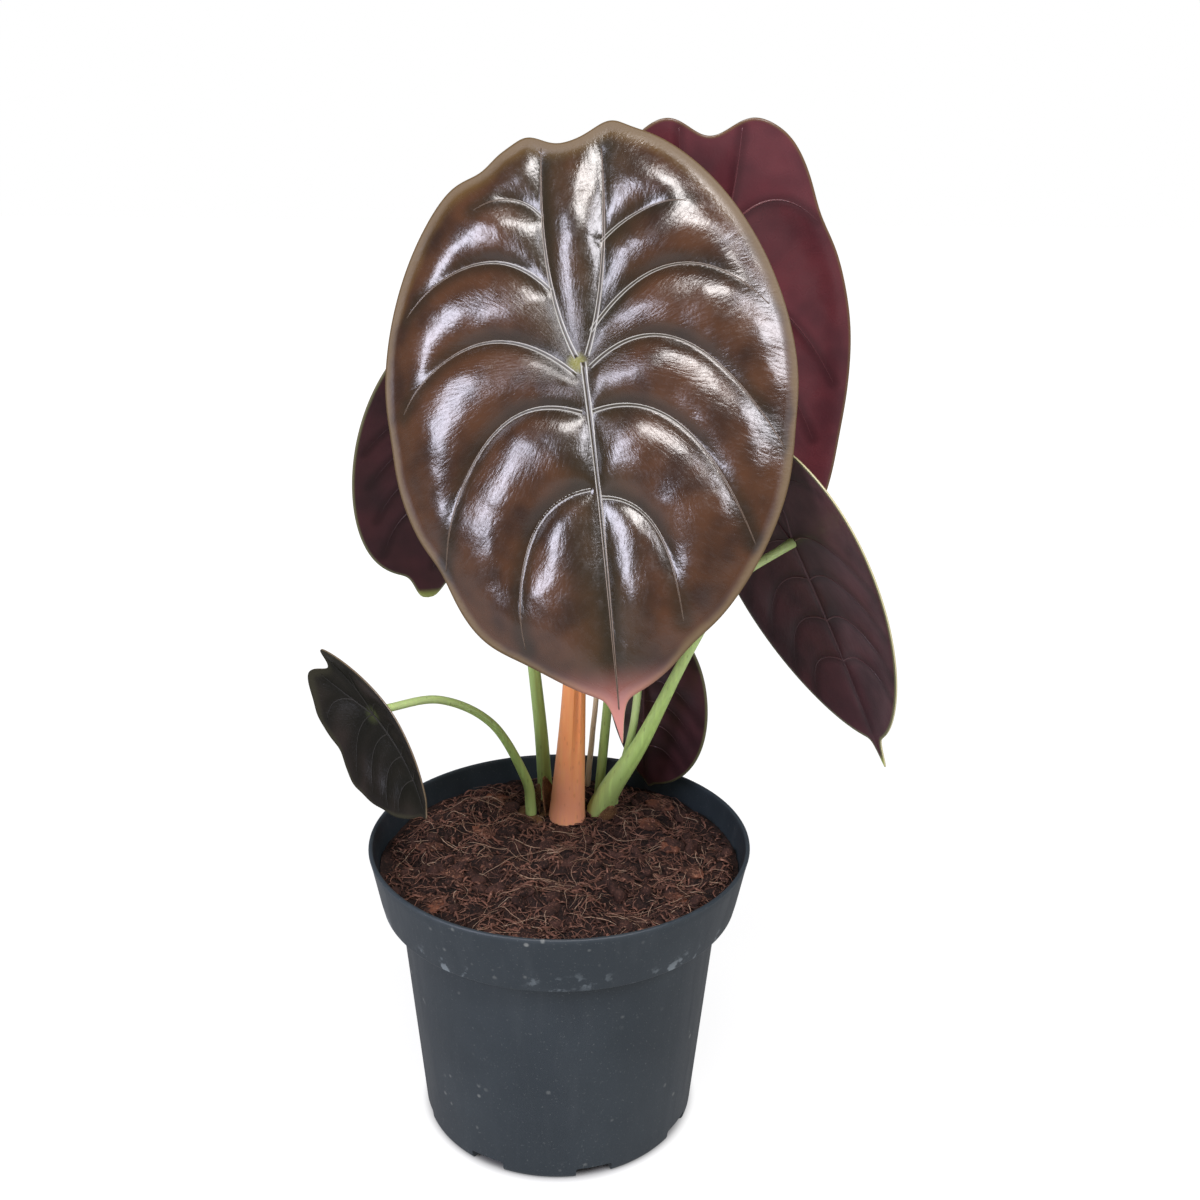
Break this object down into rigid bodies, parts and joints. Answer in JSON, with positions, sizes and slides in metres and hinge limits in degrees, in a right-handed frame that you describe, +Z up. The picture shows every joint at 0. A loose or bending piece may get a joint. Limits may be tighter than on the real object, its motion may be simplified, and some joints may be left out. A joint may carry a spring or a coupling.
{
  "type": "potted alocasia",
  "caption": "Jewel alocasia with glossy copper shield leaves on tall stalks, growing in a round nursery pot of potting mix that stands on its flat base.",
  "frame": {"origin": "centre of the pot's flat underside, on the surface it stands on", "axes": "+Z up through the pot, -Y towards the plant's front, +X to the viewer's right"},
  "size_m": [0.1787, 0.1395, 0.3118],
  "materials": {
    "pot_plastic": "matte moulded polypropylene",
    "potting_mix": "loose fibrous peat and coir",
    "rhizome_skin": "rough brown corm skin",
    "blade_copper": "glossy, deeply quilted copper leaf",
    "blade_maroon": "satin maroon leaf underside, metallic dark face",
    "blade_dark": "satin dark purple-brown leaf",
    "petiole_green": "smooth fleshy green stalk",
    "petiole_orange": "smooth fleshy salmon-orange stalk",
    "dry_scale": "dry papery scale leaf",
    "dry_stalk": "pale dry stalk",
    "bark": "rough reddish bark"
  },
  "bodies": {
    "root": {"nursery_pot": "pot_plastic", "potting_mix": "potting_mix", "rhizome": "rhizome_skin", "leaf_front": "blade_copper", "leaf_back_tall": "blade_maroon", "leaf_right_drooping": "blade_dark", "leaf_left_back": "blade_maroon", "leaf_left_small": "blade_dark", "leaf_back_small": "blade_maroon", "petiole_front": "petiole_orange", "petiole_back_tall": "petiole_green", "petiole_right_drooping": "petiole_green", "petiole_left_back": "petiole_green", "petiole_left_small": "petiole_green", "petiole_back_small": "petiole_green", "dry_stalk": "dry_stalk", "scale_leaf_1": "dry_scale", "scale_leaf_2": "dry_scale", "scale_leaf_3": "dry_scale", "bark_chip_01": "bark", "bark_chip_02": "bark", "bark_chip_03": "bark", "bark_chip_04": "bark", "bark_chip_05": "bark", "bark_chip_06": "bark", "bark_chip_07": "bark", "bark_chip_08": "bark", "bark_chip_09": "bark", "bark_chip_10": "bark"}
  },
  "joints": []
}
